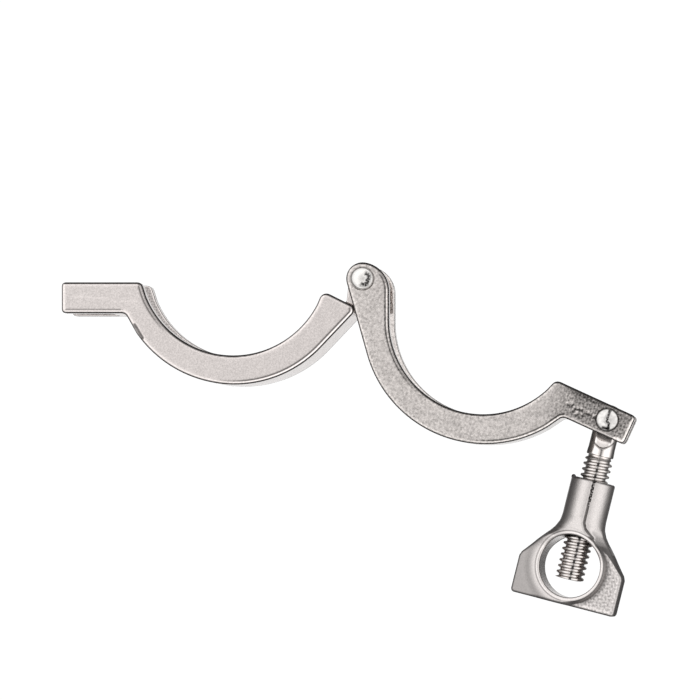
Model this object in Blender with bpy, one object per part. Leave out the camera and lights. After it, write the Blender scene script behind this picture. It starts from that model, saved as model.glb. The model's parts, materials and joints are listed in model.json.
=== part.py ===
"""Hinged single-pin pipe clamp of cast stainless steel, laid fully open on its side. Metres, +Z up.

Two half-ring jaws share a riveted hinge. A swing bolt with a wing nut is riveted into the fork jaw's lug,
and closes through the slot in the tongue jaw's lug. The ring axis is Z. Each jaw is drawn in its own ring
frame: the ring centre is the origin, x runs out along the lug, and y points from the closing line out through
the crown.
"""

import math

import bmesh
import bpy
from mathutils import Matrix, Vector
from mathutils.geometry import convex_hull_2d

# Ring and groove, for a ferrule of 64 mm outside diameter
LIP_RADIUS = 0.02875
SEAT_RADIUS = 0.03325
SEAT_HALF_WIDTH = 0.00325
FLANK_DEG = 20.0
HALF_WIDTH = 0.009
EDGE_BEVEL = 0.0004
GROOVE_TOOL_SHARE = 0.7
CROWN_START_DEG = 35.0
LIP_END_DEG = 22.5

# Fork jaw, in its ring frame
FORK_HINGE = (-0.0386, 0.0039)
FORK_DIRECTION_DEG = -24.6
FORK_OUTER_CENTRE = (0.00074, 0.00016)
FORK_OUTER_RADIUS = 0.03742
FORK_LUG_INNER = 0.0074
FORK_LUG_OUTER = 0.0168
FORK_LUG_TIP = 0.0546
EAR_RADIUS = 0.0050
EAR_SHOULDER_RADIUS = 0.0085
HINGE_SLOT_HALF = 0.0049
HINGE_SLOT_DEPTH = 0.0099

# Tongue jaw, in its ring frame
TONGUE_HINGE = (-0.0394, 0.0054)
TONGUE_DIRECTION_DEG = 180.0
TONGUE_OUTER_CENTRE = (-0.00033, 0.00137)
TONGUE_OUTER_RADIUS = 0.03626
TONGUE_TANGENT_DEG = 136.5
TONGUE_LIP_START_DEG = 152.5
TONGUE_LUG_INNER = 0.0065
TONGUE_LUG_OUTER = 0.0159
TONGUE_LUG_TIP = 0.0522
TONGUE_SLOT_END = 0.0375
BLOCK_FACE_DEG = 63.5
BLOCK_FACE_DISTANCE = 0.0087
TONGUE_EYE_RADIUS = 0.0047
TONGUE_HALF_WIDTH = 0.0046
TONGUE_ROOT = ((-0.0337, 0.0144), (-0.0348, 0.0168))

# Corner radii, in the order of the outline
FORK_ROUNDS = (0.0022, 0.0012, 0.0012, 0.0020)
TONGUE_ROUNDS = (0.0016, 0.0011, 0.0011, 0.0020)
BLOCK_OUTER_ROUND = 0.0020
BLOCK_INNER_ROUND = 0.0022

# Rivets and the holes they sit in
PIN_RADIUS = 0.0025
PIN_HOLE_RADIUS = 0.0028
HEAD_RADIUS = 0.0035
HEAD_HEIGHT = 0.0013
HEAD_EDGE_SHARE = 0.3
HEAD_STEP_DEG = 22
GAP = 0.0003

# Swing bolt: lengths run from its pivot along its axis
BOLT_PIVOT = (0.04705, 0.01195)
BOLT_DIRECTION_DEG = -103.95
LUG_SLOT_HALF = 0.0047
LUG_SLOT_END = 0.0412
EYE_RADIUS = 0.00475
EYE_HALF_WIDTH = 0.0032
EYE_FLAT_END = 0.0064
EYE_RAMP_END = 0.0096
NECK_RADIUS = 0.0041
NECK_END = 0.0114
THREAD_START = 0.0118
THREAD_TURNS = 20
THREAD_PITCH = 0.0018
THREAD_ROOT_RADIUS = 0.00358
THREAD_CREST_RADIUS = 0.0043
THREAD_SIDES = 16
THREAD_FADE_TURNS = 0.6
CREST_SHARES = (0.0, 0.42, 0.58)
BOLT_END = 0.0503

# Wing nut: lengths run from the bolt's pivot, with the nut at rest
NUT_TURN_DEG = 11.5
NUT_FACE = 0.0190
BARREL_RADIUS = 0.00685
BARREL_CHAMFER = 0.0006
BARREL_END = 0.0345
NUT_BORE_RADIUS = 0.0046
PLATE_HALF_THICKNESS = 0.00185
PLATE_BEVEL = 0.0005
PLATE_TOP = 0.0316
FLARE_START = (0.0079, 0.0356)
SHOULDER = (0.01675, 0.0460)
PLATE_END = 0.0582
PLATE_ROUNDS = (0.0010, 0.0012, 0.0040)
FINGER_HOLE_AT = 0.0462
FINGER_HOLE_RADIUS = 0.0096
RIM_RADIUS = 0.0105
RIM_FOOT_RADIUS = 0.0128
RIM_HALF_THICKNESS = 0.0038
BLEND_END = 0.0430
BLEND_HALF_X = 0.0112
BLEND_HALF_Y = 0.0036
BLEND_POWER = 1.6
BLEND_SECTIONS = 8

# The rest pose's bounding box is centred on the origin and stands on z = 0.
HINGE = Vector((0.004354, 0.049262, HALF_WIDTH + GAP + HEAD_HEIGHT))
ARC_STEP_DEG = 2.5
ARC_STEP = 0.0006
BORE_SIDES = 32
RIVET_SIDES = 24
CUT = 0.03
SMOOTH_DEG = 25.0


def direction(degrees):
    return Vector((math.cos(math.radians(degrees)), math.sin(math.radians(degrees))))


def angle_of(vector):
    return math.degrees(math.atan2(vector.y, vector.x))


def arc(centre, radius, start_deg, end_deg):
    """Points of an arc, both ends included, in steps of ARC_STEP_DEG or ARC_STEP, whichever is coarser."""
    step = max(ARC_STEP_DEG, math.degrees(ARC_STEP / radius))
    count = max(1, math.ceil(abs(end_deg - start_deg) / step - 1e-6))
    angles = [start_deg + (end_deg - start_deg) * i / count for i in range(count + 1)]
    return [Vector(centre) + radius * direction(a) for a in angles]


def fillet(before, corner, after, radius):
    """The tangent arc that rounds the corner between two straight edges."""
    to_before = (Vector(before) - Vector(corner)).normalized()
    to_after = (Vector(after) - Vector(corner)).normalized()
    half = to_before.angle(to_after) / 2
    centre = Vector(corner) + (to_before + to_after).normalized() * radius / math.sin(half)
    reach = radius / math.tan(half)
    start = Vector(corner) + to_before * reach - centre
    end = Vector(corner) + to_after * reach - centre
    sweep = math.degrees(math.atan2(start.x * end.y - start.y * end.x, start.dot(end)))
    return arc(centre, radius, angle_of(start), angle_of(start) + sweep)


def circle_reach(centre, radius, y):
    """The larger x at which a circle is at height y."""
    return centre[0] + math.sqrt(radius**2 - (y - centre[1]) ** 2)


def lug_and_crown(inner, outer, tip, outer_centre, outer_radius, crown_end_deg, lip_start_deg, rounds):
    """A jaw's outline without its hinge end: the lug with the outer arc, and the lip arc."""
    crown = arc(outer_centre, outer_radius, CROWN_START_DEG, crown_end_deg)
    lip = arc((0.0, 0.0), LIP_RADIUS, lip_start_deg, LIP_END_DEG)
    lip_corner = (circle_reach((0.0, 0.0), LIP_RADIUS, inner), inner)
    heel = (circle_reach(outer_centre, outer_radius, outer), outer)
    corners = [lip[-1], lip_corner, (tip, inner), (tip, outer), heel, crown[0]]
    lug = []
    for i, radius in enumerate(rounds):
        lug += fillet(corners[i], corners[i + 1], corners[i + 2], radius)
    return lug + crown, lip


def fork_outline():
    """Counter-clockwise along the ring axis: lug, crown, neck, hinge ears, neck's inner side and the lip."""
    hinge = Vector(FORK_HINGE)
    to_crown = Vector(FORK_OUTER_CENTRE) - hinge
    spread = math.degrees(math.acos((EAR_RADIUS - FORK_OUTER_RADIUS) / to_crown.length))
    neck_deg = angle_of(to_crown) + spread
    # The neck's inner side is a straight line that touches the lip circle and the shoulder arc.
    line_deg = FORK_DIRECTION_DEG + 360.0
    across = direction(line_deg)
    along = Vector((-across.y, across.x))
    offset = -LIP_RADIUS - EAR_SHOULDER_RADIUS - across.dot(hinge)
    reach = math.sqrt((EAR_SHOULDER_RADIUS - EAR_RADIUS) ** 2 - offset**2)
    shoulder = hinge + across * offset + along * reach
    shoulder_deg = angle_of(hinge - shoulder) + 360.0
    lug, lip = lug_and_crown(
        FORK_LUG_INNER,
        FORK_LUG_OUTER,
        FORK_LUG_TIP,
        FORK_OUTER_CENTRE,
        FORK_OUTER_RADIUS,
        neck_deg,
        line_deg - 180.0,
        FORK_ROUNDS,
    )
    ear = arc(hinge, EAR_RADIUS, neck_deg, shoulder_deg)
    return lug + ear + arc(shoulder, EAR_SHOULDER_RADIUS, shoulder_deg, line_deg)[1:] + lip


def tongue_outline():
    """Counter-clockwise along the ring axis: lug, crown, the squared block at the hinge end, and the lip."""
    lug, lip = lug_and_crown(
        TONGUE_LUG_INNER,
        TONGUE_LUG_OUTER,
        TONGUE_LUG_TIP,
        TONGUE_OUTER_CENTRE,
        TONGUE_OUTER_RADIUS,
        TONGUE_TANGENT_DEG,
        TONGUE_LIP_START_DEG,
        TONGUE_ROUNDS,
    )
    # The block's end face lies on face . p = face_at, its outer side on the crown's tangent side . p = side_at.
    face = direction(BLOCK_FACE_DEG)
    face_at = face.dot(Vector(TONGUE_HINGE)) + BLOCK_FACE_DISTANCE
    side = direction(TONGUE_TANGENT_DEG)
    side_at = side.dot(Vector(TONGUE_OUTER_CENTRE)) + TONGUE_OUTER_RADIUS
    cross = side.x * face.y - side.y * face.x
    outer_corner = Vector((side_at * face.y - face_at * side.y, side.x * face_at - face.x * side_at)) / cross
    inward = Vector((face.y, -face.x))
    half = outer_corner.dot(inward)
    run = -half - math.sqrt(half**2 - outer_corner.length_squared + LIP_RADIUS**2)
    inner_corner = outer_corner + inward * run
    outer_round = fillet(lug[-1], outer_corner, inner_corner, BLOCK_OUTER_ROUND)
    inner_round = fillet(outer_corner, inner_corner, lip[0], BLOCK_INNER_ROUND)
    return lug + outer_round + inner_round + lip


def inset(outline, distance):
    """The outline moved inwards along its mitred corner normals. It runs counter-clockwise."""
    moved = []
    for i, point in enumerate(outline):
        back = (point - outline[i - 1]).normalized()
        ahead = (outline[(i + 1) % len(outline)] - point).normalized()
        normal = Vector((-back.y - ahead.y, back.x + ahead.x)).normalized()
        moved.append(point + normal * distance / max(0.5, normal.dot(Vector((-back.y, back.x)))))
    return moved


def new_object(name, mesh, material=None):
    obj = bpy.data.objects.new(name, mesh)
    bpy.context.scene.collection.objects.link(obj)
    if material is not None:
        mesh.materials.append(material)
    return obj


def loft(name, rings):
    """A closed mesh through rings of equal count, each counter-clockwise seen from the last ring's side."""
    mesh = bpy.data.meshes.new(name)
    count = len(rings[0])
    vertices = [point for ring in rings for point in ring]
    faces = [tuple(reversed(range(count)))]
    for level in range(len(rings) - 1):
        for i in range(count):
            a, b = level * count + i, level * count + (i + 1) % count
            faces.append((a, b, b + count, a + count))
    faces.append(tuple(range((len(rings) - 1) * count, len(rings) * count)))
    mesh.from_pydata(vertices, [], faces)
    return mesh


def prism(name, outline, half_width, bevel=0.0):
    """The outline extruded to both sides of its plane, with its rims bevelled."""
    outline = [Vector(point) for point in outline]
    levels = [(-half_width, outline), (half_width, outline)]
    if bevel:
        small = inset(outline, bevel)
        levels = [
            (-half_width, small),
            (-half_width + bevel, outline),
            (half_width - bevel, outline),
            (half_width, small),
        ]
    return loft(name, [[(p.x, p.y, z) for p in ring] for z, ring in levels])


def box(low, high):
    """The counter-clockwise outline of a rectangle."""
    return [(low[0], low[1]), (high[0], low[1]), (high[0], high[1]), (low[0], high[1])]


def turned(name, profile, sides=BORE_SIDES):
    """A solid of revolution about Z from (radius, z) points that run upwards. Zero radius makes it a point."""
    bm = bmesh.new()
    rings = []
    for radius, z in profile:
        if radius == 0.0:
            rings.append([bm.verts.new((0.0, 0.0, z))])
            continue
        angles = [360.0 * i / sides for i in range(sides)]
        rings.append([bm.verts.new((*(radius * direction(a)), z)) for a in angles])
    for low, high in zip(rings, rings[1:]):
        for i in range(sides):
            j = (i + 1) % sides
            corners = [low[i % len(low)], low[j % len(low)], high[j % len(high)], high[i % len(high)]]
            bm.faces.new(list(dict.fromkeys(corners)))
    if len(rings[0]) > 1:
        bm.faces.new(rings[0][::-1])
    if len(rings[-1]) > 1:
        bm.faces.new(rings[-1])
    mesh = bpy.data.meshes.new(name)
    bm.to_mesh(mesh)
    bm.free()
    return mesh


def groove_mesh():
    """The wedge that the jaws' groove is cut with, revolved about the ring axis."""
    inner_radius = SEAT_RADIUS * GROOVE_TOOL_SHARE
    inner_half = SEAT_HALF_WIDTH + (SEAT_RADIUS - inner_radius) * math.tan(math.radians(FLANK_DEG))
    sides = round(360.0 / ARC_STEP_DEG)
    bm = bmesh.new()
    rings = []
    for i in range(sides):
        out = direction(i * ARC_STEP_DEG)
        corners = [
            (SEAT_RADIUS, -SEAT_HALF_WIDTH),
            (SEAT_RADIUS, SEAT_HALF_WIDTH),
            (inner_radius, inner_half),
            (inner_radius, -inner_half),
        ]
        rings.append([bm.verts.new((*(out * r), z)) for r, z in corners])
    for i, ring in enumerate(rings):
        after = rings[(i + 1) % sides]
        for k in range(4):
            bm.faces.new((ring[k], after[k], after[(k + 1) % 4], ring[(k + 1) % 4]))
    mesh = bpy.data.meshes.new("groove")
    bm.to_mesh(mesh)
    bm.free()
    return mesh


def apply_tool(obj, mesh, operation="DIFFERENCE", location=(0.0, 0.0, 0.0), turn=None):
    """Cuts or joins a mesh, placed in the object's own frame."""
    matrix = Matrix.Translation(location)
    if turn is not None:
        matrix = matrix @ turn
    mesh.transform(matrix)
    tool = new_object(f"{obj.name}_tool_{len(obj.modifiers)}", mesh)
    tool.parent = obj
    tool.hide_render = True
    tool.display_type = "WIRE"
    modifier = obj.modifiers.new(f"{operation.lower()}_{len(obj.modifiers)}", "BOOLEAN")
    modifier.operation = operation
    modifier.solver = "EXACT"
    modifier.object = tool


def cylinder(name, radius, low, high):
    return turned(name, [(radius, low), (radius, high)])


def steel(name, color, roughness):
    material = bpy.data.materials.new(name)
    material.use_nodes = True
    shader = material.node_tree.nodes["Principled BSDF"]
    shader.inputs["Base Color"].default_value = (*color, 1.0)
    shader.inputs["Metallic"].default_value = 1.0
    shader.inputs["Roughness"].default_value = roughness
    return material


def fork_jaw(material):
    """The root body: half ring, hinge ears and bolt lug. Its frame is turned over to face the tongue jaw."""
    obj = new_object("fork_jaw", prism("fork_jaw", fork_outline(), HALF_WIDTH, EDGE_BEVEL), material)
    apply_tool(obj, groove_mesh())
    slot = prism("hinge_slot", box((-CUT / 2, -CUT / 2), (CUT / 2, HINGE_SLOT_DEPTH)), HINGE_SLOT_HALF)
    apply_tool(
        obj,
        slot,
        location=(*FORK_HINGE, 0.0),
        turn=Matrix.Rotation(math.radians(FORK_DIRECTION_DEG), 4, "Z"),
    )
    lug_slot = prism("lug_slot", box((LUG_SLOT_END, 0.0), (FORK_LUG_TIP + CUT, CUT)), LUG_SLOT_HALF)
    apply_tool(obj, lug_slot)
    apply_tool(obj, cylinder("hinge_hole", PIN_HOLE_RADIUS, -CUT, CUT), location=(*FORK_HINGE, 0.0))
    apply_tool(obj, cylinder("bolt_hole", PIN_HOLE_RADIUS, -CUT, CUT), location=(*BOLT_PIVOT, 0.0))
    return obj


def tongue_jaw(material):
    """The moving half ring: its slotted lug, and the narrow tongue that turns between the fork's ears."""
    obj = new_object("tongue_jaw", prism("tongue_jaw", tongue_outline(), HALF_WIDTH, EDGE_BEVEL), material)
    apply_tool(obj, groove_mesh())
    eye = arc(TONGUE_HINGE, TONGUE_EYE_RADIUS, 0.0, 360.0)[:-1]
    points = eye + [Vector(p) for p in TONGUE_ROOT]
    hull = [points[i] for i in convex_hull_2d(points)]
    apply_tool(obj, prism("tongue", hull, TONGUE_HALF_WIDTH), "UNION")
    slot = prism("closing_slot", box((TONGUE_SLOT_END, 0.0), (TONGUE_LUG_TIP + CUT, CUT)), LUG_SLOT_HALF)
    apply_tool(obj, slot)
    apply_tool(obj, cylinder("tongue_hole", PIN_HOLE_RADIUS, -CUT, CUT), location=(*TONGUE_HINGE, 0.0))
    return obj


def rivet(name, material):
    """A pin with a domed head at each end, clear of the ears by GAP."""
    seat = HALF_WIDTH + GAP
    edge = seat + HEAD_EDGE_SHARE * HEAD_HEIGHT
    top = seat + HEAD_HEIGHT
    dome = [(HEAD_RADIUS, seat)]
    for degrees in range(0, 90, HEAD_STEP_DEG):
        turn = direction(degrees)
        dome.append((HEAD_RADIUS * turn.x, edge + (top - edge) * turn.y))
    dome.append((0.0, top))
    upper = [(PIN_RADIUS, seat)] + dome
    lower = [(r, -z) for r, z in reversed(upper)]
    return new_object(name, turned(name, lower + upper, RIVET_SIDES), material)


def threaded_shank():
    """Neck and thread about Z as one closed mesh. Each level of the thread climbs one pitch per full turn."""
    per_turn = len(CREST_SHARES)
    levels = per_turn * THREAD_TURNS + 1
    bm = bmesh.new()

    def ring(radius, z):
        turns = [direction(360.0 * i / THREAD_SIDES) for i in range(THREAD_SIDES)]
        return [bm.verts.new((*(radius * turn), z)) for turn in turns]

    def thread_vertex(side, level):
        turns = level // per_turn + CREST_SHARES[level % per_turn] + side / THREAD_SIDES
        fade = min(turns - 1.0, THREAD_TURNS - turns, THREAD_FADE_TURNS) / THREAD_FADE_TURNS
        crest = (THREAD_CREST_RADIUS - THREAD_ROOT_RADIUS) * max(0.0, fade) if level % per_turn else 0.0
        point = (THREAD_ROOT_RADIUS + crest) * direction(360.0 * side / THREAD_SIDES)
        return bm.verts.new((*point, THREAD_START + turns * THREAD_PITCH))

    rings = [ring(NECK_RADIUS, 0.0), ring(NECK_RADIUS, NECK_END), ring(THREAD_ROOT_RADIUS, THREAD_START)]
    thread = [[thread_vertex(side, level) for level in range(levels)] for side in range(THREAD_SIDES)]
    end = ring(THREAD_ROOT_RADIUS, BOLT_END)
    bm.faces.new(rings[0][::-1])
    bm.faces.new(end)
    last = THREAD_SIDES - 1
    for low, high in zip(rings, rings[1:]):
        for i in range(THREAD_SIDES):
            j = (i + 1) % THREAD_SIDES
            bm.faces.new((low[i], low[j], high[j], high[i]))
    for i in range(last):
        bm.faces.new((rings[2][i], rings[2][i + 1], thread[i + 1][0], thread[i][0]))
        bm.faces.new((thread[i][-1], thread[i + 1][-1], end[i + 1], end[i]))
        for level in range(levels - 1):
            here, beside = thread[i], thread[i + 1]
            bm.faces.new((here[level], beside[level], beside[level + 1], here[level + 1]))
    for level in range(levels - 1 - per_turn):
        climbed = level + per_turn
        bm.faces.new(
            (thread[last][level], thread[0][climbed], thread[0][climbed + 1], thread[last][level + 1])
        )
    bm.faces.new([rings[2][last], rings[2][0]] + thread[0][: per_turn + 1] + [thread[last][0]])
    bm.faces.new([thread[0][-1], end[0], end[last]] + thread[last][: -2 - per_turn : -1])
    mesh = bpy.data.meshes.new("eye_bolt")
    bm.to_mesh(mesh)
    bm.free()
    return mesh


def eye_bolt(material):
    """The bolt stands on Z, with its pivot at the origin and the pin's axis along Y."""
    obj = new_object("eye_bolt", threaded_shank(), material)
    across = Matrix.Rotation(math.radians(90.0), 4, "X")
    half = EYE_HALF_WIDTH
    apply_tool(obj, cylinder("eye", EYE_RADIUS, -EYE_RADIUS, EYE_RADIUS), "UNION", turn=across)
    ramp = [(half, -CUT), (CUT, -CUT), (CUT, EYE_RAMP_END), (NECK_RADIUS, EYE_RAMP_END), (half, EYE_FLAT_END)]
    for side in (1.0, -1.0):
        # The outline's x becomes the bolt's y on one side and -y on the other. Its y becomes the bolt's axis.
        turn = Matrix.Rotation(math.radians(90.0 * side), 4, "Z") @ across
        apply_tool(obj, prism("eye_flat", ramp, CUT), turn=turn)
    apply_tool(obj, cylinder("eye_hole", PIN_HOLE_RADIUS, -CUT, CUT), turn=across)
    return obj


def plate_outline():
    """The wing plate in (across, along): from the barrel out over the flares to the square lower corners."""
    neck = (BARREL_RADIUS - PLATE_BEVEL, PLATE_TOP)
    right = [(SHOULDER[0], PLATE_END), SHOULDER, FLARE_START, neck]
    left_of = [(-x, y) for x, y in right]
    corners = [left_of[0]] + right
    side = []
    for i, radius in enumerate(PLATE_ROUNDS):
        side += fillet(corners[i], corners[i + 1], corners[i + 2], radius)
    side.append(Vector(neck))
    return side + [Vector((-p.x, p.y)) for p in reversed(side)]


def blend_mesh():
    """The web that carries the barrel's round section over into the flat rim of the finger hole."""
    rings = []
    for k in range(BLEND_SECTIONS + 1):
        share = k / BLEND_SECTIONS
        ease = share * share * (3.0 - 2.0 * share)
        half_x = BARREL_RADIUS + (BLEND_HALF_X - BARREL_RADIUS) * share**BLEND_POWER
        half_y = BARREL_RADIUS + (BLEND_HALF_Y - BARREL_RADIUS) * ease
        z = PLATE_TOP + (BLEND_END - PLATE_TOP) * share
        turns = [direction(360.0 * i / BORE_SIDES) for i in range(BORE_SIDES)]
        rings.append([(half_x * t.x, half_y * t.y, z) for t in turns])
    return loft("blend", rings)


def wing_nut(material):
    """The nut shares the bolt's frame: its barrel stands on Z and its plate lies across Y."""
    upright = Matrix.Rotation(math.radians(90.0), 4, "X")
    plate = prism("wing_nut", plate_outline(), PLATE_HALF_THICKNESS, PLATE_BEVEL)
    plate.transform(upright)
    obj = new_object("wing_nut", plate, material)
    chamfered = BARREL_RADIUS - BARREL_CHAMFER
    barrel = [(chamfered, NUT_FACE), (BARREL_RADIUS, NUT_FACE + BARREL_CHAMFER), (BARREL_RADIUS, BARREL_END)]
    hole_at = (0.0, 0.0, FINGER_HOLE_AT)
    rim = [
        (RIM_RADIUS, -RIM_HALF_THICKNESS),
        (RIM_FOOT_RADIUS, -PLATE_HALF_THICKNESS / 2),
        (RIM_FOOT_RADIUS, PLATE_HALF_THICKNESS / 2),
        (RIM_RADIUS, RIM_HALF_THICKNESS),
    ]
    apply_tool(obj, blend_mesh(), "UNION")
    apply_tool(obj, turned("rim", rim, 2 * BORE_SIDES), "UNION", hole_at, upright)
    apply_tool(obj, turned("barrel", barrel, 2 * BORE_SIDES), "UNION")
    apply_tool(obj, prism("trim", box((-CUT, PLATE_END), (CUT, PLATE_END + CUT)), CUT), turn=upright)
    hole = [(FINGER_HOLE_RADIUS, -CUT), (FINGER_HOLE_RADIUS, CUT)]
    finger_hole = turned("finger_hole", hole, 2 * BORE_SIDES)
    apply_tool(obj, finger_hole, location=hole_at, turn=upright)
    apply_tool(obj, cylinder("nut_bore", NUT_BORE_RADIUS, 0.0, FINGER_HOLE_AT))
    return obj


def ring_to_world(point, direction_deg, mirrored):
    """A ring-frame vector turned into the clamp's plane."""
    out = direction(direction_deg)
    up = Vector((-out.y, out.x)) * (-1.0 if mirrored else 1.0)
    return out * point[0] + up * point[1]


def clear_scene():
    for obj in list(bpy.data.objects):
        bpy.data.objects.remove(obj, do_unlink=True)


def main():
    clear_scene()
    fork = fork_jaw(steel("cast_steel_fork", (0.50, 0.47, 0.455), 0.42))
    tongue = tongue_jaw(steel("cast_steel_tongue", (0.60, 0.57, 0.55), 0.36))
    hinge_pin = rivet("hinge_pin", steel("rivet_steel", (0.68, 0.66, 0.64), 0.22))
    bolt_pin = rivet("bolt_pin", bpy.data.materials["rivet_steel"])
    bolt = eye_bolt(steel("bolt_steel", (0.55, 0.52, 0.50), 0.25))
    nut = wing_nut(steel("wing_nut_steel", (0.48, 0.45, 0.43), 0.34))

    ring_centre = HINGE - ring_to_world(FORK_HINGE, FORK_DIRECTION_DEG, True).to_3d()
    fork.location = ring_centre
    fork.rotation_euler = (math.pi, 0.0, math.radians(FORK_DIRECTION_DEG))
    hinge_pin.location = HINGE

    hinge_axis = new_object("hinge_axis", None)
    hinge_axis.location = HINGE
    tongue.parent = hinge_axis
    tongue.location = -ring_to_world(TONGUE_HINGE, TONGUE_DIRECTION_DEG, False).to_3d()
    tongue.rotation_euler = (0.0, 0.0, math.radians(TONGUE_DIRECTION_DEG))

    pivot = ring_centre + ring_to_world(BOLT_PIVOT, FORK_DIRECTION_DEG, True).to_3d()
    bolt_pin.location = pivot
    along = direction(BOLT_DIRECTION_DEG).to_3d()
    up = Vector((0.0, 0.0, 1.0))
    bolt.matrix_world = Matrix.Translation(pivot) @ Matrix((up.cross(along), up, along)).transposed().to_4x4()
    nut.parent = bolt
    nut.rotation_euler = (0.0, 0.0, math.radians(NUT_TURN_DEG))
    for obj in (fork, tongue, hinge_pin, bolt_pin, bolt, nut):
        obj.data.shade_smooth()
        obj.data.set_sharp_from_angle(angle=math.radians(SMOOTH_DEG))


main()
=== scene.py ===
"""The looks of the hinged pipe clamp: rounded castings, a real thread, domed rivets and procedural steel.

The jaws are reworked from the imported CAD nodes. The nut, the bolt and the rivets are solid fields, placed by
the joints and by the CAD nodes' boxes, so every piece sits where its CAD node does.
"""

import json
import math

import bmesh
import bpy
import numpy as np
from mathutils import Matrix, Vector


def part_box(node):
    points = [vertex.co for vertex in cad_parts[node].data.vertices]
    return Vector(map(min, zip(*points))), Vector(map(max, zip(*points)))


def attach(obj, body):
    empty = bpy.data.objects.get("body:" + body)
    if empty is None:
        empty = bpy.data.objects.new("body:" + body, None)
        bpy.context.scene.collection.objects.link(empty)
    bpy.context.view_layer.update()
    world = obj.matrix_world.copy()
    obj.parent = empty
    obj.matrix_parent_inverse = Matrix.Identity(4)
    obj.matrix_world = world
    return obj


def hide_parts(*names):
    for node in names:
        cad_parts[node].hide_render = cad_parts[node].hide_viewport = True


MM = 0.001

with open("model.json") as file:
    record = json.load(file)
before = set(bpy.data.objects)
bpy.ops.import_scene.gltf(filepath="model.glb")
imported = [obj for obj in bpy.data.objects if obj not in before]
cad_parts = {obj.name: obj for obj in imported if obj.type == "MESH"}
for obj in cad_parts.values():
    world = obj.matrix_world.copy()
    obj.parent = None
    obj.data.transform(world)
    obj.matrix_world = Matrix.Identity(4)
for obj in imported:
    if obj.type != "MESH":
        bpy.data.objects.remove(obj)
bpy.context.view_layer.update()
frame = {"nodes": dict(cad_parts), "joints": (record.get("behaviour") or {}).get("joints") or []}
JOINTS = {joint["name"]: joint for joint in frame["joints"]}
HINGE = Vector(JOINTS["jaw_hinge"]["pos_m"])
PIVOT = Vector(JOINTS["bolt_swing"]["pos_m"])
BOLT_AXIS = Vector(JOINTS["nut_travel"]["axis"]).normalized()
UP = Vector((0.0, 0.0, 1.0))
MIDDLE = HINGE.z
# The bolt's own frame: x across the clamp, y up, z along the bolt away from its pivot.
BOLT_FRAME = Matrix.Translation(PIVOT) @ Matrix((UP.cross(BOLT_AXIS), UP, BOLT_AXIS)).transposed().to_4x4()
NUT_TURN = Matrix.Rotation(math.radians(11.5), 4, "Z")

# Jaws: the skin's cell size, the smoothing passes that round its edges, and half the jaws' width
JAW_CELL = 0.24 * MM
JAW_PASSES = 3
HALF_WIDTH = 9.0 * MM
# The rounding of the faces' rims, and the slight slope inside it
EDGE_RADIUS = 0.8 * MM
RIM_WIDTH = 1.4 * MM
RIM_SLOPE = 0.10
# Half the groove's height, and how far the hinge's slot reaches from the hinge
GROOVE_HALF = 5.2 * MM
SLOT_REACH = 10.0 * MM
# Points this close to the outline are on a wall. Outlines this close to a pin are its hole.
ON_WALL = 0.35 * MM
PIN_HOLE = 3.7 * MM
# Edges that face the first direction are painted with the lines of a ledge, and those that face the second
# with a heavy painted dark contour.
LEDGE_SIDE = (0.90, -0.43)
HEAVY_SIDE = (0.50, 0.87)
# The fork's lug runs at this angle.
LUG_DEG = -24.6

# Marks on the faces, in millimetres. Those on the fork's lug are along and across it, from the bolt's pivot.
# Each lump of the rough patch has a height too, and painted shade on its lee side, shifted from it.
CAST_RIDGE = [
    (-13.0 + 1.1 * k, -0.35 + 0.3 * math.sin(2.1 * k), 0.26 + 0.1 * math.sin(3.3 * k)) for k in range(9)
]
CAST_SPOTS = [(-10.8 + 1.5 * k, -1.7 + 0.25 * math.cos(2.7 * k), 0.3) for k in range(3)]
CAST_SPOTS.append((-11.8, 0.5, 0.25))
LEE_SHIFT = (0.35, -0.55)
# Those on the tongue jaw are from the hinge.
NICK = [((-69.4, -14.1), (-67.0, -18.1))]
RUBS = [((-88.5, -5.5), (-77.5, -6.0)), ((-76.0, -6.9), (-69.0, -7.0))]

# Rivets, in millimetres. DOME is the radius of a head's curve, and the gap is in the fork's face round it.
RIVET_CELL = 0.12
HEAD = 3.3
HEAD_HEIGHT = 1.25
DOME = 6.5
RIVET_SHANK = 2.5
RIVET_GAP = 3.45
RIVET_GAP_WIDTH = 0.17
# The dents left by the press: a crescent's radius on one head, and a groove and a hollow across the other
CRESCENT = 2.05
DENT_GROOVE = [(0.9, 3.0), (0.5, 1.6), (0.1, 0.3), (-0.1, -0.5), (0.5, -1.3), (0.3, -2.6)]
DENT_HOLLOW = [(-1.3, -2.6), (0.2, -2.9)]

# Bolt, in millimetres in the bolt's frame. EYE_FLAT is half the eye's thickness.
BOLT_CELL = 0.13
BOLT_BOX = ((-5.4, -5.4, -5.4), (5.4, 5.4, 51.2))
EYE = 4.75
EYE_HOLE = 2.8
EYE_FLAT = 3.15
NECK = 4.1
NECK_END = 11.3
THREAD_START = 11.6
BOLT_END = 50.3
PITCH = 1.8
ROOT = 3.55
CREST = 4.25
# The eye's flats run out on the neck along this curve, and the parting line is this far off the middle.
FLAT_END = 8.6
FLAT_CURVE = 0.22
PARTING = 0.35

# Wing nut, in millimetres in the nut's frame. The barrel starts at NUT_FACE and the wings end at NUT_END.
NUT_CELL = 0.18
NUT_BOX = ((-17.6, -7.6, 18.4), (17.6, 7.6, 59.0))
NUT_FACE = 19.0
NUT_END = 58.2
BARREL = 6.85
BARREL_END = 30.8
BORE = 4.7
# The finger hole, half the thickness of the boss round it and of the wings, and where the wings start
HOLE_Z = 46.2
HOLE = 9.6
BOSS = 3.8
BOSS_RADIUS = 10.7
PLATE = 2.1
WINGS = 40.0
# Half the outline, seen from the front
NUT_SIDE = [
    (6.85, 5.0), (6.85, BARREL_END), (7.1, 33.2), (7.85, 35.3), (9.0, 36.9), (16.2, 45.35), (16.75, 46.7),
    (16.75, 57.2), (16.45, 57.9), (15.75, NUT_END), (0.0, NUT_END),
]
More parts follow.
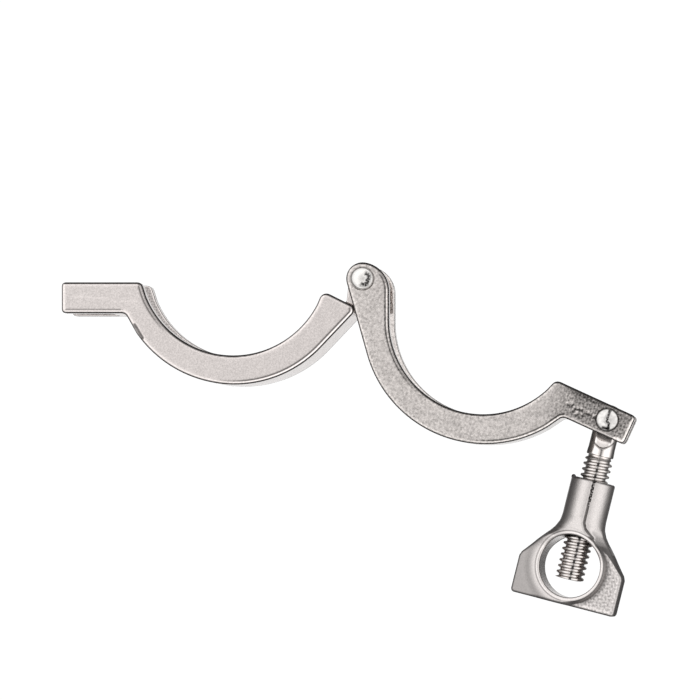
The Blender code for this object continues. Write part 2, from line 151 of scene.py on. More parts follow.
# The parting line on the nut's face, and the height of the face along it where it leaves the barrel
SEAM = [(1.85, NUT_FACE), (1.85, 32.3), (2.6, 34.0), (5.35, 36.2), (9.8, 40.0), (16.75, 46.0)]
SEAM_HEIGHT = [(32.3, 6.4), (35.0, 5.4), (38.0, 3.9), (41.5, 2.7), (46.0, 2.1)]
# Beads of flash down the barrel's seam, and a burr on its rim
BEADS = [(1.9 + 0.28 * math.sin(2.4 * k), 6.45, 19.9 + 0.75 * k) for k in range(10)]
BEAD = 0.36
BURR_AT = (-6.25, 1.0, NUT_FACE + 0.2)
BURR = 0.7

# The camera's place is from the hinge.
CAMERA_PLACE = HINGE + Vector((0.114923, -0.067402, 0.8274))
CAMERA_SHIFT = (-0.5571, 0.2143)
LENS = 138.34
SENSOR = 36.0


def link(name, mesh):
    obj = bpy.data.objects.new(name, mesh)
    bpy.context.scene.collection.objects.link(obj)
    return obj


def bake(obj):
    """Replaces the object's mesh with its mesh after modifiers."""
    graph = bpy.context.evaluated_depsgraph_get()
    mesh = bpy.data.meshes.new_from_object(obj.evaluated_get(graph))
    obj.modifiers.clear()
    obj.data = mesh


def points_of(mesh):
    flat = np.empty(len(mesh.vertices) * 3)
    mesh.vertices.foreach_get("co", flat)
    return flat.reshape(-1, 3)


def set_points(mesh, points):
    mesh.vertices.foreach_set("co", points.ravel())
    mesh.update()


def keep_value(mesh, name, values):
    attribute = mesh.attributes.new(name, "FLOAT", "POINT")
    attribute.data.foreach_set("value", values.astype(np.float32))


def finish_piece(obj, body, node, material):
    """Gives a piece its material, puts it on its body and hides its CAD node, which it stands in for."""
    obj.data.materials.clear()
    obj.data.materials.append(material)
    obj.data.shade_smooth()
    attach(obj, body)
    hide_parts(node)


def smoothstep(low, high, x):
    """Rises smoothly from 0 at low to 1 at high, or falls if low is above high."""
    t = np.clip((x - low) / (high - low), 0.0, 1.0)
    return t * t * (3.0 - 2.0 * t)


def bell(x, middle, width):
    """1 at the middle, falling off on both sides."""
    return np.exp(-(((x - middle) / width) ** 2))


# ---------------------------------------------------------------- solid fields


def span(low, high, cell):
    """Sparse x, y and z coordinates of a grid between two corners."""
    axes = [np.arange(a, b + cell, cell) for a, b in zip(low, high)]
    return np.meshgrid(*axes, indexing="ij", sparse=True)


def crossing_points(field, cells):
    """The mean of the places where the surface crosses each cell's edges, in cells from its low corner."""
    total = np.zeros((len(cells), 3))
    hits = np.zeros(len(cells))
    for axis in range(3):
        step = np.eye(3, dtype=int)[axis]
        others = [np.eye(3, dtype=int)[k] for k in range(3) if k != axis]
        for a in (0, 1):
            for b in (0, 1):
                offset = a * others[0] + b * others[1]
                near = field[tuple((cells + offset).T)]
                far = field[tuple((cells + offset + step).T)]
                cross = (near < 0.0) != (far < 0.0)
                share = np.where(cross, near / np.where(cross, near - far, 1.0), 0.0)
                total += cross[:, None] * (offset + share[:, None] * step)
                hits += cross
    return total / hits[:, None]


def skin(name, field, low, cell):
    """A closed mesh over the region where the field is negative, with one vertex in every cell it crosses."""
    inside = field < 0.0
    shape = np.array(field.shape) - 1
    count = np.zeros(shape, dtype=np.int8)
    for dx in (0, 1):
        for dy in (0, 1):
            for dz in (0, 1):
                count += inside[dx:dx + shape[0], dy:dy + shape[1], dz:dz + shape[2]]
    cells = np.argwhere((count > 0) & (count < 8))
    number = np.full(shape, -1)
    number[tuple(cells.T)] = np.arange(len(cells))
    points = np.array(low) + cell * (cells + crossing_points(field, cells))
    quads = []
    for axis in range(3):
        u, v = np.eye(3, dtype=int)[(axis + 1) % 3], np.eye(3, dtype=int)[(axis + 2) % 3]
        near = np.moveaxis(inside, axis, 0)[:-1]
        far = np.moveaxis(inside, axis, 0)[1:]
        at = np.argwhere(np.moveaxis(near != far, 0, axis))
        ring = [number[tuple((at + offset).T)] for offset in (-u - v, -v, 0 * u, -u)]
        quad = np.stack(ring, axis=1)
        outward = inside[tuple(at.T)]
        quads.append(np.where(outward[:, None], quad, quad[:, ::-1]))
    mesh = bpy.data.meshes.new(name)
    mesh.from_pydata(points * MM, [], np.concatenate(quads))
    return link(name, mesh)


def smooth_max(a, b, radius):
    """The larger of two fields, with the corner between them rounded."""
    blend = np.maximum(radius - np.abs(a - b), 0.0)
    return np.maximum(a, b) + blend * blend / (4.0 * radius)


def rounded_both(a, b, radius):
    """Inside both fields, with the edge between them rounded to a radius."""
    corner = np.hypot(np.maximum(a + radius, 0.0), np.maximum(b + radius, 0.0))
    return corner - radius + np.minimum(np.maximum(a, b) + radius, 0.0)


def segment_distance(x, y, segments):
    """Distance from each point to the nearest of many segments."""
    best = np.full(np.broadcast(x, y).shape, np.inf)
    for (ax, ay), (bx, by) in segments:
        dx, dy = bx - ax, by - ay
        t = np.clip(((x - ax) * dx + (y - ay) * dy) / max(dx * dx + dy * dy, 1e-18), 0.0, 1.0)
        best = np.minimum(best, np.hypot(x - ax - t * dx, y - ay - t * dy))
    return best


def path_segments(path):
    return list(zip(path[:-1], path[1:]))


# ---------------------------------------------------------------- jaws


def cad_copy(node, name):
    """A welded copy of a CAD node's mesh, ready to be reworked."""
    bm = bmesh.new()
    bm.from_mesh(frame["nodes"][node].data)
    bmesh.ops.remove_doubles(bm, verts=bm.verts, dist=0.002 * MM)
    mesh = bpy.data.meshes.new(name)
    bm.to_mesh(mesh)
    bm.free()
    return link(name, mesh)


def outline(node, height):
    """The edges of a CAD node's section at a height, as pairs of points, without its pin holes."""
    bm = bmesh.new()
    bm.from_mesh(frame["nodes"][node].data)
    geometry = bm.verts[:] + bm.edges[:] + bm.faces[:]
    bmesh.ops.bisect_plane(
        bm, geom=geometry, plane_co=(0.0, 0.0, height), plane_no=UP, clear_inner=True, clear_outer=True
    )
    segments = [[tuple(vert.co.xy) for vert in edge.verts] for edge in bm.edges]
    bm.free()
    pins = (HINGE, PIVOT)
    return [pair for pair in segments if min(math.dist(pair[0], pin.xy) for pin in pins) > PIN_HOLE]


def along_lug(x, y):
    """A point's place in millimetres along and across the fork's lug, from the bolt's pivot."""
    turn = math.radians(LUG_DEG)
    dx, dy = (x - PIVOT.x) / MM, (y - PIVOT.y) / MM
    return dx * math.cos(turn) + dy * math.sin(turn), dy * math.cos(turn) - dx * math.sin(turn)


def ripple(x, y, wave):
    """An uneven pattern between about -1 and 1, with lumps of roughly the given size."""
    k = 2.0 * math.pi / wave
    first = np.sin(k * (0.83 * x + 0.41 * y) + 1.7 * np.sin(0.47 * k * (y - 0.6 * x)))
    second = np.sin(k * (0.37 * x - 0.92 * y) + 1.3 * np.sin(0.61 * k * (x + 0.4 * y)))
    return 0.5 * (first + second)


def bumps(u, v, centres, radius):
    """Low round lumps at (u, v) centres."""
    total = 0.0
    for cu, cv, height in centres:
        total = total + height * np.exp(-(((u - cu) / radius) ** 2) - ((v - cv) / radius) ** 2)
    return total


def scratches(x, y):
    """Fine uneven marks, from about -2 to 2."""
    return ripple(x, y, 1.3) + ripple(y, x, 0.8)


def rivet_ring(x, y, centre):
    """A narrow gap round a rivet's head."""
    return bell(np.hypot(x - centre.x, y - centre.y) / MM, RIVET_GAP, RIVET_GAP_WIDTH)


def facing(x, y, edge, segments, side):
    """How far the outline's nearest edge faces a side, from -1 to 1, for points near that edge."""
    step = 0.05 * MM
    near = edge < 1.8 * MM
    turned = np.zeros(len(x))
    moved = segment_distance(x[near] + step * side[0], y[near] + step * side[1], segments)
    turned[near] = (edge[near] - moved) / step
    return turned


def lug_painted_light_and_scar(u, v, edge):
    """Painted light and a scar on the fork's lug: a painted shadow inside its outer edge, a scar, and a
    painted highlight strip inside its tip.
    """
    shadow = (1.0 - smoothstep(0.3, 2.4, edge)) * smoothstep(1.0, 3.0, v)
    shadow = shadow * smoothstep(-19.0, -12.0, u) * (1.0 - 0.7 * smoothstep(-5.0, 0.0, u))
    scar = bell(v, -0.9, 0.25) * smoothstep(-14.0, -12.0, u) * (1.0 - smoothstep(-5.0, -3.5, u))
    strip = bell(edge, 0.9, 0.4) * smoothstep(3.5, 5.5, u) * (1.0 - smoothstep(2.0, 4.0, v))
    # The shadow is painted shade and the strip a painted highlight; the scar is a mark of its own.
    return 0.6 * shadow + 0.3 * scar - 1.4 * strip


def fork_marks(x, y, edge):
    """Drop, and dirt with painted light, of the fork's face: rivet gaps, a rough patch on the lug, a darker
    lug, and a broken dark line along the ring's rim.
    """
    u, v = along_lug(x, y)
    lumps = CAST_RIDGE + CAST_SPOTS
    raised = bumps(u, v, CAST_RIDGE, 0.45) + bumps(u, v, CAST_SPOTS, 0.5)
    lee_shade = bumps(u, v, [(cu + LEE_SHIFT[0], cv + LEE_SHIFT[1], height) for cu, cv, height in lumps], 0.45)
    ring = rivet_ring(x, y, HINGE) + rivet_ring(x, y, PIVOT)
    on_ring = smoothstep(0.0, 12.0, (HINGE.y - y) / MM) * (1.0 - smoothstep(-32.0, -24.0, u))
    x, y, edge = x / MM, y / MM, edge / MM
    lug = smoothstep(-24.0, -9.0, u) * smoothstep(-9.0, -6.0, v) * smoothstep(0.5, 1.0, edge)
    broken_rim_line = bell(edge, 1.15, 0.22) * smoothstep(-0.2, 0.7, ripple(x, y, 1.6)) * on_ring
    pits = smoothstep(0.55, 0.85, ripple(x, y, 1.1)) * (0.25 + 0.5 * lug)
    scratch = (0.08 + 0.18 * lug) * scratches(x, y)
    # The rivet gaps are painted dark as shade, each lump has painted shade on its lee side and a painted
    # highlight on its top, and the lug is darker partly as its rough cast surface and partly as painted shade;
    # pits and scratches are the steel's own marks.
    drop = 0.2 * ring - raised + 0.06 * pits
    dirt_and_painted_light = 0.03 + 0.85 * ring + 0.54 * lug + 0.5 * broken_rim_line + 0.3 * pits + 2.4 * lee_shade - 2.2 * raised + scratch
    return drop * MM, dirt_and_painted_light + lug_painted_light_and_scar(u, v, edge)


def tongue_marks(x, y, edge):
    """Drop and dirt of the tongue jaw's face: a nick in its outer edge and two faint rub marks on the lug."""
    u, v = (x - HINGE.x) / MM, (y - HINGE.y) / MM
    nick = bell(segment_distance(u, v, NICK), 0.0, 0.42)
    rub = bell(segment_distance(u, v, RUBS), 0.0, 0.35)
    return 0.4 * MM * nick, nick - 0.12 * rub + 0.03 * scratches(x / MM, y / MM)


def rim_lines(edge, height, ledge, heavy, low):
    """Painted light of the rims and walls: a painted dark contour, a painted highlight band inside it, and the
    painted lines of a ledge on one side.

    Below the low height the walls on those two sides are painted dark as shade as well.
    """
    near_face = smoothstep(HALF_WIDTH - 1.6 * MM, HALF_WIDTH - 1.1 * MM, np.abs(height))
    on_wall = (edge < ON_WALL) * (1.0 - near_face)
    edge, height = edge / MM, height / MM
    width = 0.2 + 0.4 * smoothstep(0.3, 0.9, heavy)
    contour = 1.0 - smoothstep(width, width + 0.2, edge)
    ledge = smoothstep(0.2, 0.55, ledge)
    plain_rim = -0.18 * bell(edge, 0.8, 0.3)
    ledge_rim = bell(edge, 1.04, 0.25) - 0.6 * bell(edge, 0.5, 0.22)
    rim = contour + (1.0 - ledge) * plain_rim + ledge * ledge_rim
    side = np.maximum(ledge, smoothstep(0.0, 0.4, heavy)) * on_wall
    return rim * near_face + side * (0.9 * smoothstep(low + 1.0, low - 1.0, height) - 0.14)


def groove_painted_shade(x, y, edge, height, shade):
    """Painted shade inside the groove: dark and uneven far from the hinge, and painted lighter in the hinge's
    slot.
    """
    inside = (np.abs(height) < GROOVE_HALF) * (edge > ON_WALL)
    far = smoothstep(30.0, 40.0, (HINGE.x - x) / MM)
    slot = 1.0 - smoothstep(SLOT_REACH, 1.15 * SLOT_REACH, np.hypot(x - HINGE.x, y - HINGE.y))
    return inside * (shade * far * (0.6 + 0.3 * ripple(x / MM, y / MM, 0.9)) - 0.3 * slot * (x > HINGE.x))


def rounded_rims(points, edge, drop):
    """Rounds the rims of both faces above a slight slope, and lowers the upper face by the drop."""
    height = points[:, 2] - MIDDLE
    short = np.clip(EDGE_RADIUS - edge, 0.0, EDGE_RADIUS)
    rim = EDGE_RADIUS - np.sqrt(EDGE_RADIUS ** 2 - short ** 2)
    limit = HALF_WIDTH - rim - RIM_SLOPE * np.maximum(RIM_WIDTH - edge, 0.0)
    return MIDDLE + np.clip(height, -limit, limit) - drop


def finish_jaw(obj, node, marks, groove_shade):
    """Shapes the rims, adds the marks of use and casting, and paints light and shade on the rims, walls and
    groove.
    """
    points = points_of(obj.data)
    x, y = points[:, 0], points[:, 1]
    height = points[:, 2] - MIDDLE
    segments = outline(node, MIDDLE + 0.8 * HALF_WIDTH)
    edge = segment_distance(x, y, segments)
    drop, dirt_and_painted_light = marks(x, y, edge)
    upper_face = smoothstep(0.8 * HALF_WIDTH, 0.9 * HALF_WIDTH, np.abs(height)) * (height > 0.0)
    points[:, 2] = rounded_rims(points, edge, upper_face * drop)
    set_points(obj.data, points)
    ledge = facing(x, y, edge, segments, LEDGE_SIDE)
    heavy = facing(x, y, edge, segments, HEAVY_SIDE)
    low = -5.5 + 7.0 * smoothstep(0.0, 4.0, along_lug(x, y)[0])
    dirt_and_painted_light = dirt_and_painted_light * upper_face + rim_lines(edge, height, ledge, heavy, low)
    dirt_and_painted_light = dirt_and_painted_light + groove_painted_shade(x, y, edge, height, groove_shade)
    keep_value(obj.data, "dirt_and_painted_light", np.clip(dirt_and_painted_light, -0.6, 1.0))


def jaw(node, marks, groove_shade, material):
    """A jaw from its CAD node, with rounded edges and its marks."""
    obj = cad_copy(node, f"{node}_casting")
    remesh = obj.modifiers.new("skin", "REMESH")
    remesh.mode = "VOXEL"
    remesh.voxel_size = JAW_CELL
    smooth = obj.modifiers.new("round", "SMOOTH")
    smooth.factor = 0.5
    smooth.iterations = JAW_PASSES
    bake(obj)
    finish_jaw(obj, node, marks, groove_shade)
    finish_piece(obj, node, node, material)


# ---------------------------------------------------------------- bolt and nut


def thread_field(x, y, z):
    """A climbing wedge round the shank, with spikes at its sides and a seam along one parting line."""
    reach = np.hypot(x, y)
    phase = (z / PITCH - np.arctan2(y, x) / (2.0 * math.pi)) % 1.0
    wedge = np.clip((0.70 - np.abs(phase - 0.5) * 2.0) / 0.38, 0.0, 1.0)
    spike = 0.2 * smoothstep(0.85, 1.0, np.abs(x) / np.maximum(reach, 0.1))
    run_in = smoothstep(THREAD_START - 0.3, THREAD_START + 0.8 * PITCH, z)
    seam = 0.42 * bell(x, PARTING, 0.4) * (0.3 + 0.7 * wedge)
    radius = ROOT + (CREST - ROOT + spike) * run_in * wedge - seam
    return (reach - radius) * 0.8


def bolt_painted_light(points):
    """How dark the bolt is painted, as shade: on the thread's flanks, along the seam, at the ends of the eye's
    flats, under the lug as a shadow and down the neck's sides, with a painted highlight down the neck's
    middle.
    """
    x, y, z = points.T / MM
    off_middle = np.abs(x)
    on_neck = z < THREAD_START
    on_thread = smoothstep(THREAD_START - 0.3, THREAD_START + 0.6, z)
    flank = bell(np.hypot(x, y), (ROOT + CREST) / 2.0, 0.2) * on_thread
    seam = bell(x, PARTING, 0.32 + 0.18 * on_neck) * smoothstep(9.0, 9.4, z) * (1.0 + 0.3 * on_neck)
    step = bell(z + FLAT_CURVE * x * x, FLAT_END + 0.3, 0.42) * (off_middle < 3.4)
    under_lug = (1.0 - smoothstep(5.9, 6.7, z - 0.19 * x)) * (off_middle < 2.6)
    side = smoothstep(3.25, 3.75, off_middle) * on_neck
    middle = on_neck * (off_middle < 3.2)
    return np.clip(0.7 * flank + 0.75 * seam + step + under_lug + 0.7 * side - 0.25 * middle, -0.3, 1.0)


def swing_bolt(material):
    """The swing bolt: a flat eye, a round neck and a threaded shank."""
    low, high = BOLT_BOX
    x, y, z = span(low, high, BOLT_CELL)
    from_pivot = np.hypot(x, z)
    shank = rounded_both(thread_field(x, y, z), z - BOLT_END, 0.25)
    neck_radius = NECK + 0.12 * smoothstep(8.5, 10.6, z)
    neck = rounded_both(np.hypot(x, y) - neck_radius, z - NECK_END, 0.35)
    neck = neck + 0.3 * bell(x, 0.3, 0.2) * smoothstep(8.8, 9.3, z)
    body = np.maximum(np.minimum(shank, neck), -z)
    run_out = z + FLAT_CURVE * x * x
    flat = EYE_FLAT + 0.4 * smoothstep(4.6, 7.6, run_out) + 3.0 * np.maximum(run_out - FLAT_END, 0.0)
    field = smooth_max(np.minimum(body, from_pivot - EYE), np.abs(y) - flat, 0.2)
    field = np.maximum(field, EYE_HOLE - from_pivot)
    obj = skin("swing_bolt", field, low, BOLT_CELL)
    keep_value(obj.data, "dirt_and_painted_light", bolt_painted_light(points_of(obj.data)))
    obj.data.transform(BOLT_FRAME)
    finish_piece(obj, "eye_bolt", "eye_bolt", material)


def table(z, points):
    """A value read from (z, value) points."""
    return np.interp(z, [point[0] for point in points], [point[1] for point in points])


def nut_side(z):
    """How far out the nut's outline is at a height."""
    return table(z, [(level, out) for out, level in NUT_SIDE[:-1]])


def nut_outline(x, z):
    """Signed distance to the nut's outline seen from the front, negative inside."""
    distance = segment_distance(np.abs(x), z, path_segments(NUT_SIDE))
    inside = (np.abs(x) < nut_side(z)) & (z < NUT_END)
    return np.where(inside, -distance, distance)


def barrel_seam(x, z):
    """Distance to the parting line on the barrel and the web."""
    return segment_distance(x, z, path_segments(SEAM[:4]))


def nut_front(x, z):
    """Height of the nut's face over its middle plane: barrel, boss, and a web that is gentler on the left."""
    from_hole = np.hypot(x, z - HOLE_Z)
    left = 1.0 - smoothstep(-4.0, 4.0, x)
    arch = BOSS + 2.2 * (1.0 - smoothstep(36.0, 44.0, z))
    foot = PLATE + 0.8 * left
    boss = arch - (arch - foot) * smoothstep(BOSS_RADIUS, BOSS_RADIUS + 1.1 + 3.7 * left, from_hole)
    barrel = BARREL - 0.2 * np.maximum(z - BARREL_END, 0.0) - 0.5 * np.maximum(z - 35.5, 0.0)
    return smooth_max(boss, barrel, 1.2)


def nut_flank(x, y, z):
    """The slanting flank right of the parting line, from the line down to the outline at the middle plane."""
    line = table(z, [(level, out) for out, level in SEAM])
    height = table(z, SEAM_HEIGHT)
    side = nut_side(z)
    slant = ((x - line) * height + (y - height) * (side - line)) / np.hypot(height, side - line)
    return slant - 1.7 * (1.0 - smoothstep(31.5, 38.5, z))


def ball(x, y, z, centre, radius):
    return np.sqrt((x - centre[0]) ** 2 + (y - centre[1]) ** 2 + (z - centre[2]) ** 2) - radius


def wing_nut(material):
    """The wing nut: a bored barrel and two wings with a finger hole. Its back is like its front."""
    low, high = NUT_BOX
    x, y, z = span(low, high, NUT_CELL)
    right, up = np.where(y > 0.0, x, -x), np.abs(y)
    from_axis = np.hypot(x, y)
    face = nut_front(right, z)
    round_off = BARREL - (BARREL - 1.0) * smoothstep(BARREL_END, 41.0, z)
    field = rounded_both(nut_outline(x, z), up - face, np.minimum(round_off, face))
    field = smooth_max(field, nut_flank(right, up, z), 0.35)
    field = rounded_both(field, NUT_FACE - z, 0.7)
    field = smooth_max(field, HOLE - np.hypot(x, z - HOLE_Z), 0.6)
    field = np.where(z < HOLE_Z, np.maximum(field, BORE - from_axis), field)
    seam = bell(barrel_seam(right, z), 0.0, 0.38)
    field = field + 0.6 * seam * smoothstep(BORE + 0.5, BORE + 1.0, from_axis)
    for centre in BEADS:
        field = np.minimum(field, ball(right, up, z, centre, BEAD))
    field = np.minimum(field, ball(x, y, z, BURR_AT, BURR))
    obj = skin("wing_nut_casting", field, low, NUT_CELL)
    keep_value(obj.data, "dirt_and_painted_light", nut_shade_and_grain(points_of(obj.data)))
    obj.data.transform(BOLT_FRAME @ NUT_TURN)
    finish_piece(obj, "wing_nut", "wing_nut", material)


def hole_painted_light(x, y, z):
    """Painted light of the finger hole: shade on its lower wall, its arch and the bore below it, and a painted
    dark ring round its rim with a painted highlight inside it.
    """
    from_hole = np.hypot(x, z - HOLE_Z)
    inside = 1.0 - smoothstep(HOLE + 0.05, HOLE + 0.3, from_hole)
    lower = inside * smoothstep(-2.6, -3.4, y)
    arch = inside * smoothstep(5.0, 2.5, np.abs(x)) * smoothstep(HOLE_Z - 6.0, HOLE_Z - 8.0, z)
    bore = (np.hypot(x, y) < BORE + 0.3) * smoothstep(24.0, 28.0, z) * (z < HOLE_Z)
    ring = bell(from_hole, HOLE + 1.2, 0.17) - 0.5 * bell(from_hole, HOLE + 0.75, 0.25)
    return 0.65 * ring + arch + bore + 0.8 * lower


def wing_shade_and_grain(right, x, z):
    """Painted light and grain of the wings: a painted dark contour, painted shade round the boss's foot, a
    plain left wing painted darker as shade, and a rough grained right wing, also painted darker, with a
    painted highlight along its edge.
    """
    from_hole = np.hypot(x, z - HOLE_Z)
    inset = -nut_outline(x, z)
    on_right, on_left = (right > 0.0) * (z > WINGS), (right < 0.0) * (z > WINGS)
    contour = 0.4 * (1.0 - smoothstep(0.1, 0.4, inset))
    bright = 0.3 * bell(inset, 1.1, 0.4) * on_right
    foot = 0.55 * bell(from_hole, BOSS_RADIUS + 0.9, 0.8) * (right > 3.0) * (z > 38.0)
    right_wing = smoothstep(BOSS_RADIUS, BOSS_RADIUS + 2.0, from_hole) * on_right
    left_wing = smoothstep(BOSS_RADIUS, BOSS_RADIUS + 3.0, from_hole) * on_left
    grain = (ripple(x, z, 1.3) + 0.6 * ripple(z, x, 0.8)) * smoothstep(0.2, 0.8, inset)
    return contour - bright + foot + right_wing * (0.2 + 0.28 * grain) + 0.42 * left_wing


def nut_shade_and_grain(points):
    """How dark the nut is painted: shade on the parting line and on the barrel's left side and rim, painted
    light in the hole, and painted light and grain on the wings.
    """
    x, y, z = points.T / MM
    right = np.where(y > 0.0, x, -x)
    seam = 0.85 * bell(barrel_seam(right, z), 0.0, 0.4) * (np.abs(y) > 2.5)
    left = 0.32 * smoothstep(1.0, 5.5, -right) * (z < 38.0)
    rim = 0.45 * (1.0 - smoothstep(0.3, 0.8, z - NUT_FACE))
    return np.clip(seam + left + rim + hole_painted_light(x, y, z) + wing_shade_and_grain(right, x, z), -0.4, 1.0)


# ---------------------------------------------------------------- rivets


def hinge_dent(x, y):
    """A mottled crescent towards the right of the head."""
    out, turn = np.hypot(x, y), np.arctan2(y, x)
    crescent = bell(out, CRESCENT + 0.2 * np.sin(5.0 * turn), 0.6)
    mottle = 0.75 + 0.45 * ripple(x, y, 0.8)
    arc = smoothstep(-2.2, -1.4, turn) * (1.0 - smoothstep(0.8, 1.3, turn))
    return np.clip(1.5 * crescent * mottle, 0.0, 1.0) * arc


def bolt_dent(x, y):
    """A crooked groove from the top of the head to a hollow at its bottom left."""
    groove = bell(segment_distance(x, y, path_segments(DENT_GROOVE)), 0.0, 0.4)
    hollow = bell(segment_distance(x, y, path_segments(DENT_HOLLOW)), 0.0, 0.35)
    return np.clip(groove + hollow + 0.3 * groove * ripple(x, y, 0.7), 0.0, 1.0)


def rivet(name, node, dent, haze_and_shade, material):
    """A peened pin: a shank between two low domes, the upper one dented by the press."""
    low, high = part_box(node)
    half = (high.z - low.z) / 2.0 / MM
    corner = (-4.2, -4.2, -half - 0.6)
    x, y, z = span(corner, (4.2, 4.2, half + 0.6), RIVET_CELL)
    reach, up = np.hypot(x, y), np.abs(z)
    dome = np.sqrt(reach ** 2 + (up - half + DOME) ** 2) - DOME + 0.4 * dent(x, y) * (z > 0.0)
    head = rounded_both(rounded_both(dome, reach - HEAD, 0.25), half - HEAD_HEIGHT - up, 0.15)
    shank = np.maximum(reach - RIVET_SHANK, up - half + 1.0)
    obj = skin(name, np.minimum(head, shank), corner, RIVET_CELL)
    x, y, z = points_of(obj.data).T / MM
    # The haze is the heads' own mottling; the second term is painted shade, darker towards the lower right,
    # and the dents are painted dark as shade in their hollows.
    haze_and_shade = haze_and_shade * (1.0 + ripple(x, y, 1.4)) + 0.12 * smoothstep(-2.0, 3.0, 0.8 * x - 0.6 * y)
    keep_value(obj.data, "dirt_and_painted_light", (haze_and_shade + 0.9 * dent(x, y)) * (z > 0.0))
    obj.data.transform(Matrix.Translation((low + high) / 2.0))
    finish_piece(obj, "fork_jaw", node, material)


# ---------------------------------------------------------------- materials


class Nodes:
    """Shorthand for building a shader tree."""

    def __init__(self, tree):
        self.tree = tree

    def put(self, socket, value):
        if isinstance(value, bpy.types.NodeSocket):
            self.tree.links.new(value, socket)
        else:
            socket.default_value = value

    def add(self, kind, inputs=None, **settings):
        node = self.tree.nodes.new(kind)
        for key, value in settings.items():
            setattr(node, key, value)
        for key, value in (inputs or {}).items():
            self.put(node.inputs[key], value)
        return node

    def ramp(self, fac, stops):
        node = self.add("ShaderNodeValToRGB", {"Fac": fac})
        while len(node.color_ramp.elements) < len(stops):
            node.color_ramp.elements.new(0.5)
        for element, (position, value) in zip(node.color_ramp.elements, stops):
            element.position = position
            element.color = (value, value, value, 1.0)
        return node.outputs["Color"]

    def maths(self, operation, *values):
        node = self.add("ShaderNodeMath", operation=operation)
        for socket, value in zip(node.inputs, values):
            self.put(socket, value)
        return node.outputs[0]

    def noise(self, scale, detail, roughness, vector):
        inputs = {"Scale": scale, "Detail": detail, "Roughness": roughness, "Vector": vector}
        return self.add("ShaderNodeTexNoise", inputs).outputs["Fac"]

    def emission(self, color):
        return self.add("ShaderNodeEmission", {"Color": color}).outputs[0]

    def mixed(self, fac, first, second):
        mix = self.add("ShaderNodeMixShader", {"Fac": fac})
        self.tree.links.new(first, mix.inputs[1])
        self.tree.links.new(second, mix.inputs[2])
        return mix.outputs[0]


def steel(name, color, roughness, grain, depth, contrast):
    """Cast or polished stainless steel, darkened by the mesh's dirt and painted shade, and lightened where
    that value paints a highlight.

    Grain and depth are the width and height of its bumps in metres. Contrast is how much they vary its shade.
    """
    material = bpy.data.materials.new(name)
    material.use_nodes = True
    tree = material.node_tree
    nodes = Nodes(tree)
    shader = tree.nodes["Principled BSDF"]
    shader.inputs["Metallic"].default_value = 1.0
    place = nodes.add("ShaderNodeTexCoord").outputs["Object"]
    coarse = nodes.noise(0.12 / grain, 2.0, 0.5, place)
    fine = nodes.noise(0.8 / grain, 3.0, 0.65, place)
    leather = nodes.ramp(fine, [(0.34, 0.0), (0.66, 1.0)])
    patchy = nodes.maths("MULTIPLY_ADD", coarse, 0.3 * contrast, -0.15 * contrast)
    shade = nodes.maths("ADD", nodes.maths("MULTIPLY_ADD", leather, contrast, 1.0 - 0.5 * contrast), patchy)
    dirt_and_painted_light = nodes.add("ShaderNodeAttribute", attribute_name="dirt_and_painted_light").outputs["Fac"]
    shade = nodes.maths("MULTIPLY", shade, nodes.maths("MULTIPLY_ADD", dirt_and_painted_light, -0.92, 1.0))
    tint = nodes.add("ShaderNodeVectorMath", {0: color, 1: shade}, operation="MULTIPLY").outputs["Vector"]
    rough = nodes.maths("MULTIPLY_ADD", coarse, 0.12, roughness - 0.06)
    rough = nodes.maths("MULTIPLY_ADD", dirt_and_painted_light, 0.3, rough)
    bump = nodes.add("ShaderNodeBump", {"Strength": 1.0, "Distance": depth, "Height": leather})
    nodes.put(shader.inputs["Normal"], bump.outputs["Normal"])
    nodes.put(shader.inputs["Base Color"], tint)
    nodes.put(shader.inputs["Roughness"], rough)
    return material


# ---------------------------------------------------------------- stage

# The room's brightness by degrees from straight up: a soft tent, a dark horizon, and a white table below.
ROOM = [
    (0, 0.70), (4, 0.80), (8, 0.99), (14, 1.0), (22, 1.10), (34, 1.42), (52, 1.42), (66, 1.0), (80, 0.50),
    (95, 0.24), (112, 0.16), (135, 0.12), (149, 0.12), (156, 0.45), (162, 1.0), (180, 1.0),
]
# The tent reaches lower, by these many radians, towards its two lamps and to the right.
LAMP_LEAN = 0.17
LAMP_SUM = (1.282, 0.598, 0.0)
LAMP_DIFFERENCE = (0.598, -1.282, 0.0)
ROOM_LEAN = (0.19, 0.06, 0.0)


def room(nodes, direction):
    """The brightness that metal sees in a direction."""

    def towards(axis):
        product = nodes.add("ShaderNodeVectorMath", {0: direction, 1: axis}, operation="DOT_PRODUCT")
        return product.outputs["Value"]

    tilt = nodes.maths("ARCCOSINE", nodes.add("ShaderNodeSeparateXYZ", {"Vector": direction}).outputs["Z"])
    lamps = nodes.maths("MULTIPLY", towards(LAMP_SUM), towards(LAMP_DIFFERENCE))
    lean = nodes.maths("MULTIPLY_ADD", lamps, LAMP_LEAN, towards(ROOM_LEAN))
    overhead = nodes.maths("MULTIPLY", nodes.maths("SUBTRACT", tilt, lean), 1.0 / math.pi)
    return nodes.ramp(overhead, [(degrees / 180.0, value) for degrees, value in ROOM])


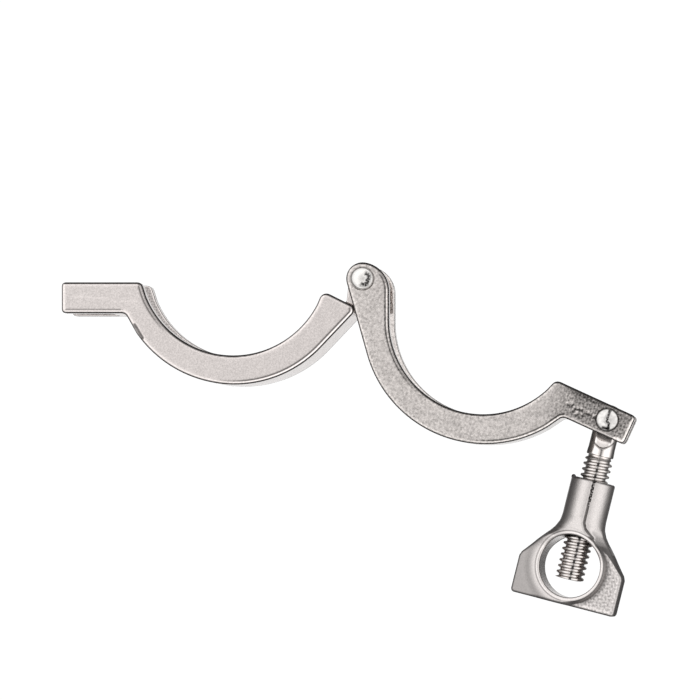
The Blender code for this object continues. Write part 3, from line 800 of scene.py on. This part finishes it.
def floor():
    """A white floor. Reflections see the room's dark horizon in it, and white right under the clamp."""
    size = 8.0
    corners = [(-size, -size, 0), (size, -size, 0), (size, size, 0), (-size, size, 0)]
    mesh = bpy.data.meshes.new("floor")
    mesh.from_pydata(corners, [], [(0, 1, 2, 3)])
    obj = link("floor", mesh)
    material = bpy.data.materials.new("floor")
    material.use_nodes = True
    tree = material.node_tree
    tree.nodes.clear()
    nodes = Nodes(tree)
    incoming = nodes.add("ShaderNodeNewGeometry").outputs["Incoming"]
    reverse = nodes.add("ShaderNodeVectorMath", {0: incoming, "Scale": -1.0}, operation="SCALE")
    seen = nodes.add("ShaderNodeLightPath").outputs["Is Camera Ray"]
    white = nodes.emission((1.05, 1.05, 1.05, 1.0))
    output = nodes.add("ShaderNodeOutputMaterial")
    glow = nodes.emission(room(nodes, reverse.outputs["Vector"]))
    tree.links.new(nodes.mixed(seen, glow, white), output.inputs["Surface"])
    mesh.materials.append(material)


def studio():
    """The room round the clamp. The camera sees it plain white."""
    world = bpy.data.worlds.new("studio")
    bpy.context.scene.world = world
    world.use_nodes = True
    tree = world.node_tree
    tree.nodes.clear()
    nodes = Nodes(tree)
    direction = nodes.add("ShaderNodeTexCoord").outputs["Generated"]
    glow = nodes.add("ShaderNodeBackground", {"Color": room(nodes, direction)}).outputs[0]
    white = nodes.add("ShaderNodeBackground", {"Color": (1.0, 1.0, 1.0, 1.0)}).outputs[0]
    seen = nodes.add("ShaderNodeLightPath").outputs["Is Camera Ray"]
    output = nodes.add("ShaderNodeOutputWorld")
    tree.links.new(nodes.mixed(seen, glow, white), output.inputs["Surface"])


def camera():
    """Over the clamp, to its right and in front of it, with a shifted lens that keeps its face undistorted.

    The shift belongs to this place only: a driver drops it when the camera is moved somewhere else.
    """
    data = bpy.data.cameras.new("camera")
    data.sensor_width = SENSOR
    data.lens = LENS
    data.clip_start = 0.05
    data.clip_end = 30.0
    obj = bpy.data.objects.new("camera", data)
    bpy.context.scene.collection.objects.link(obj)
    obj.location = CAMERA_PLACE
    for name, shift in (("shift_x", CAMERA_SHIFT[0]), ("shift_y", CAMERA_SHIFT[1])):
        driver = data.driver_add(name).driver
        driver.type = "SCRIPTED"
        place = driver.variables.new()
        place.name = "place"
        place.type = "TRANSFORMS"
        place.targets[0].id = obj
        place.targets[0].transform_type = "LOC_X"
        driver.expression = f"{shift} if abs(place - {CAMERA_PLACE.x}) < 0.0001 else 0.0"
    bpy.context.scene.camera = obj


def main():
    fork = steel("fork_steel", (0.580, 0.542, 0.520), 0.20, 0.55 * MM, 0.035 * MM, 0.60)
    tongue = steel("tongue_steel", (0.655, 0.607, 0.588), 0.20, 0.40 * MM, 0.011 * MM, 0.30)
    rivets = steel("rivet_steel", (0.74, 0.72, 0.70), 0.16, 0.5 * MM, 0.004 * MM, 0.08)
    jaw("fork_jaw", fork_marks, 0.0, fork)
    jaw("tongue_jaw", tongue_marks, 0.8, tongue)
    rivet("hinge_rivet", "hinge_pin", hinge_dent, 0.0, rivets)
    rivet("bolt_rivet", "bolt_pin", bolt_dent, 0.1, rivets)
    swing_bolt(steel("bolt_steel", (0.76, 0.715, 0.69), 0.14, 0.3 * MM, 0.004 * MM, 0.06))
    wing_nut(steel("nut_steel", (0.60, 0.565, 0.55), 0.24, 0.4 * MM, 0.012 * MM, 0.14))
    floor()
    studio()
    camera()
    bpy.context.scene.view_settings.view_transform = "Standard"


main()
